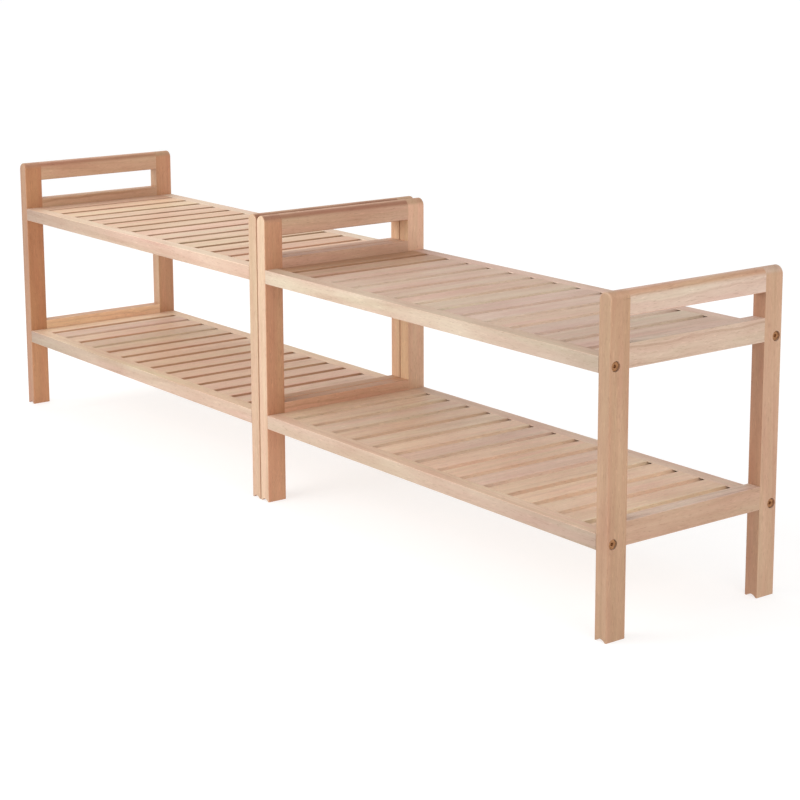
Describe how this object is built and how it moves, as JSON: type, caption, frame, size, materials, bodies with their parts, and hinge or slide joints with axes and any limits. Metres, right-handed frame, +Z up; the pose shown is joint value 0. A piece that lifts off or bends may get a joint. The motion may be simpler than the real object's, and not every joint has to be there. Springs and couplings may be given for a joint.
{
  "type": "entryway bench",
  "caption": "Long low two-tier slatted wooden bench made of two stackable units end to end, with hand slots in its end frames.",
  "frame": {"origin": "on the floor, under the middle of the whole bench, between the two units", "axes": "+X along the bench, from the left unit to the right unit; +Y from the front to the rear; +Z up"},
  "size_m": [1.472, 0.286, 0.42],
  "materials": {
    "leg_wood": "satin clear lacquer over light tan solid wood",
    "rail_wood": "satin clear lacquer over light tan solid wood",
    "slat_wood": "satin clear lacquer over light pinkish solid wood",
    "dowel_wood": "bare fluted hardwood",
    "bolt_steel": "dark bronze-brown plated",
    "insert_brass": "plain turned brass"
  },
  "bodies": {
    "root": {"left_outer_front_leg": "leg_wood", "left_outer_rear_leg": "leg_wood", "left_outer_handle_rail": "rail_wood", "left_outer_upper_cross_rail": "rail_wood", "left_outer_lower_cross_rail": "rail_wood", "left_outer_dowels": "dowel_wood", "left_outer_bolts": "bolt_steel", "left_outer_inserts": "insert_brass", "left_inner_front_leg": "leg_wood", "left_inner_rear_leg": "leg_wood", "left_inner_handle_rail": "rail_wood", "left_inner_upper_cross_rail": "rail_wood", "left_inner_lower_cross_rail": "rail_wood", "left_inner_dowels": "dowel_wood", "left_inner_bolts": "bolt_steel", "left_inner_inserts": "insert_brass", "right_inner_front_leg": "leg_wood", "right_inner_rear_leg": "leg_wood", "right_inner_handle_rail": "rail_wood", "right_inner_upper_cross_rail": "rail_wood", "right_inner_lower_cross_rail": "rail_wood", "right_inner_dowels": "dowel_wood", "right_inner_bolts": "bolt_steel", "right_inner_inserts": "insert_brass", "right_outer_front_leg": "leg_wood", "right_outer_rear_leg": "leg_wood", "right_outer_handle_rail": "rail_wood", "right_outer_upper_cross_rail": "rail_wood", "right_outer_lower_cross_rail": "rail_wood", "right_outer_dowels": "dowel_wood", "right_outer_bolts": "bolt_steel", "right_outer_inserts": "insert_brass", "left_lower_shelf_front_rail": "rail_wood", "left_lower_shelf_rear_rail": "rail_wood", "left_lower_shelf_slats": "slat_wood", "left_lower_shelf_end_slats": "slat_wood", "left_upper_shelf_front_rail": "rail_wood", "left_upper_shelf_rear_rail": "rail_wood", "left_upper_shelf_slats": "slat_wood", "left_upper_shelf_end_slats": "slat_wood", "right_lower_shelf_front_rail": "rail_wood", "right_lower_shelf_rear_rail": "rail_wood", "right_lower_shelf_slats": "slat_wood", "right_lower_shelf_end_slats": "slat_wood", "right_upper_shelf_front_rail": "rail_wood", "right_upper_shelf_rear_rail": "rail_wood", "right_upper_shelf_slats": "slat_wood", "right_upper_shelf_end_slats": "slat_wood"}
  },
  "joints": []
}
